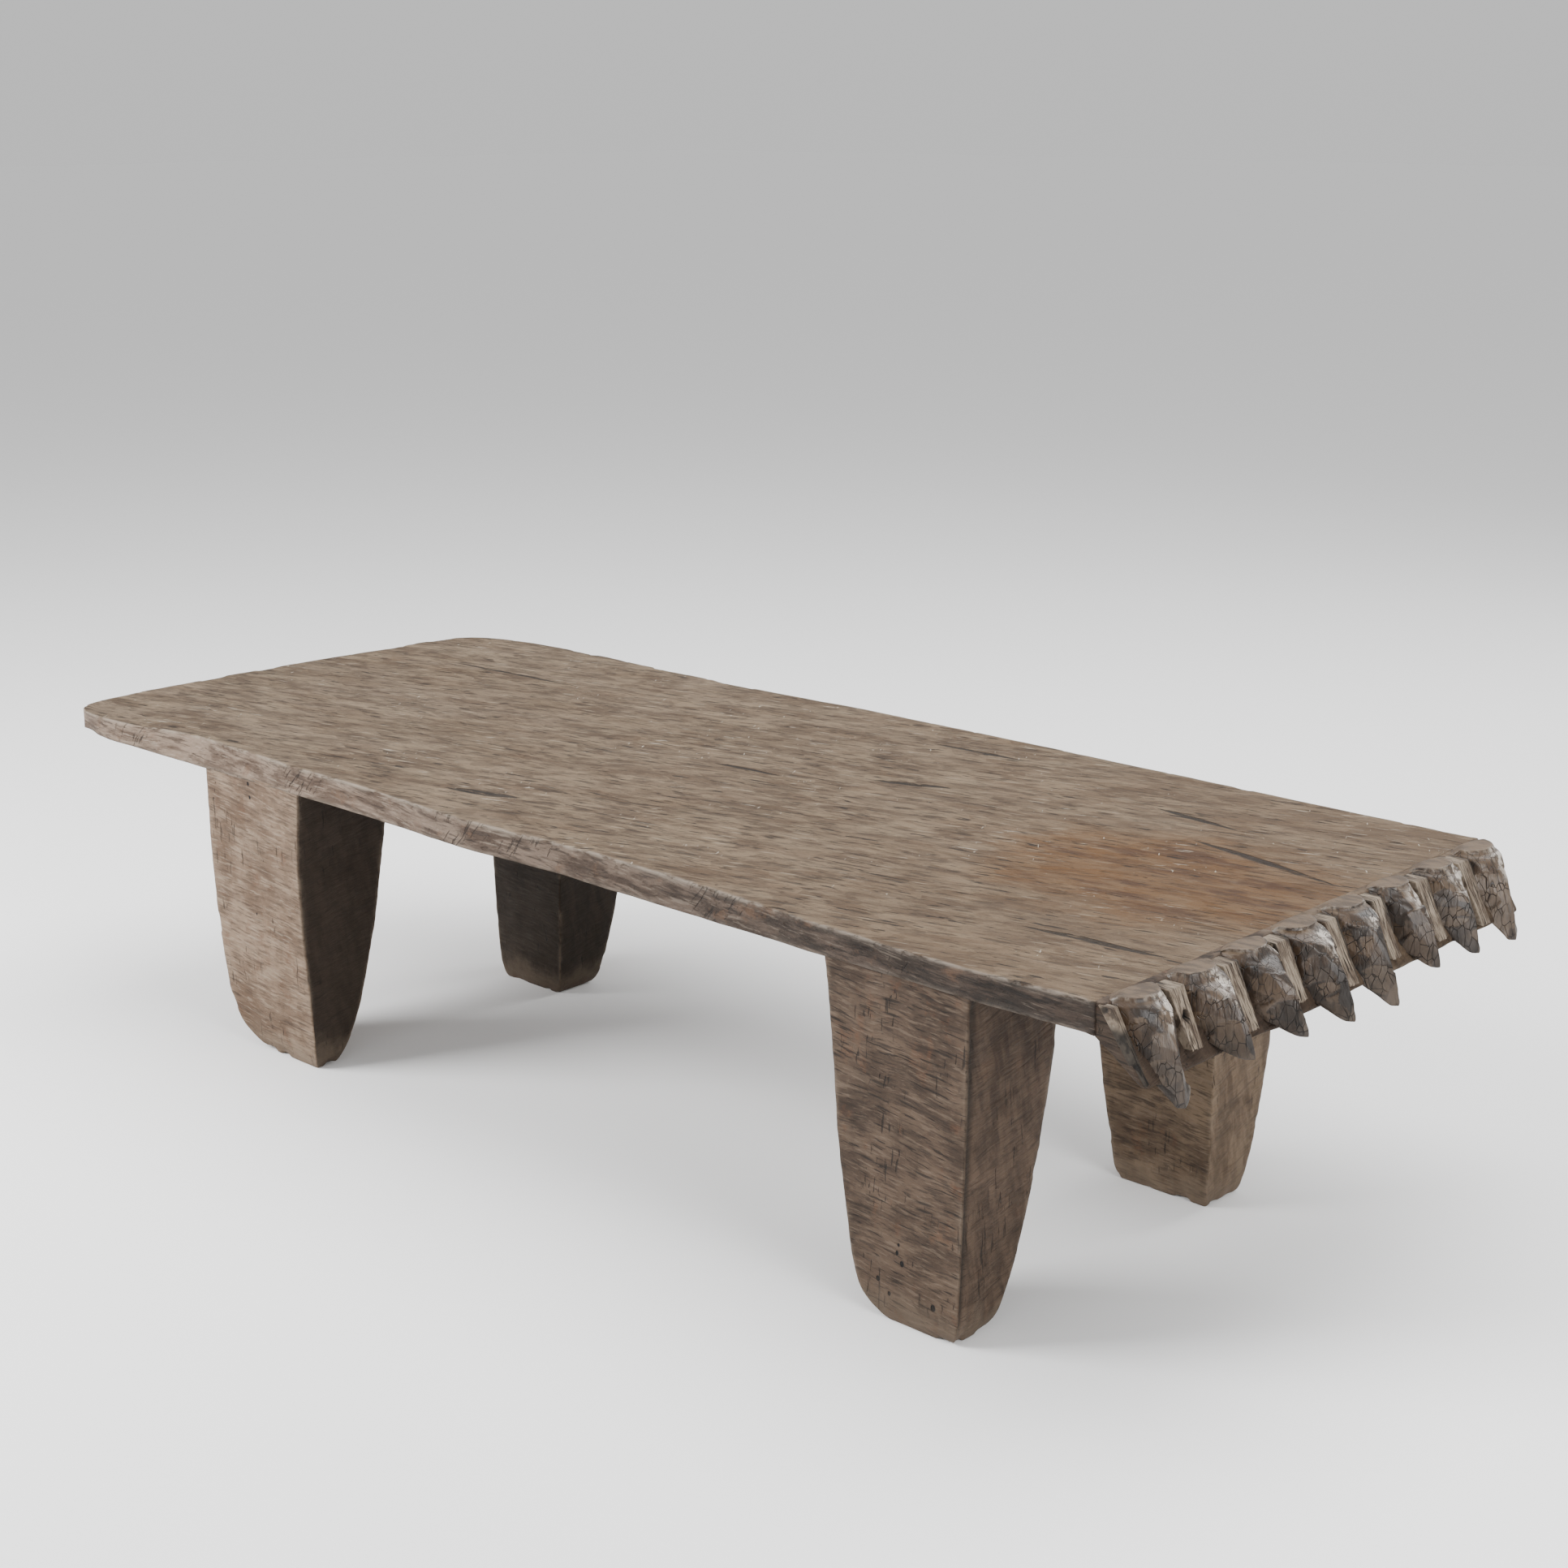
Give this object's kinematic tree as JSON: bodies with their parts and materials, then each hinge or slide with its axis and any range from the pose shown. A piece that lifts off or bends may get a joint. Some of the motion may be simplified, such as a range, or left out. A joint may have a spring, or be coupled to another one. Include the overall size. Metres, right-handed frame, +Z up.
{
  "type": "carved low table",
  "caption": "Long, low table hewn from one log: a flat top on four tapering plank-like legs, with a row of hooked, beak-like carvings across one end.",
  "frame": {"origin": "on the floor, under the middle of the table's overall box", "axes": "+X along the table towards the carved end, +Z up, -Y towards the front long side, the one with the flared corner"},
  "size_m": [1.919, 0.782, 0.446],
  "materials": {
    "top_wood": "grey-brown weathered wood, dull, with short adze marks",
    "leg_wood": "warm grey-brown weathered wood, dull",
    "lip_wood": "darker grey-brown wood, dull",
    "beak_wood": "dark grey-brown wood, handled to a soft polish",
    "rib_wood": "pale grey fissured wood, dull"
  },
  "bodies": {
    "root": {"top_slab": "top_wood", "leg_front_left": "leg_wood", "leg_front_right": "leg_wood", "leg_back_right": "leg_wood", "leg_back_left": "leg_wood", "end_lip": "lip_wood", "beak_1": "beak_wood", "beak_2": "beak_wood", "beak_3": "beak_wood", "beak_4": "beak_wood", "beak_5": "beak_wood", "beak_6": "beak_wood", "beak_7": "beak_wood", "beak_8": "beak_wood", "rib_1": "rib_wood", "rib_2": "rib_wood", "rib_3": "rib_wood", "rib_4": "rib_wood", "rib_5": "rib_wood", "rib_6": "rib_wood", "rib_7": "rib_wood", "rib_8": "rib_wood"}
  },
  "joints": []
}
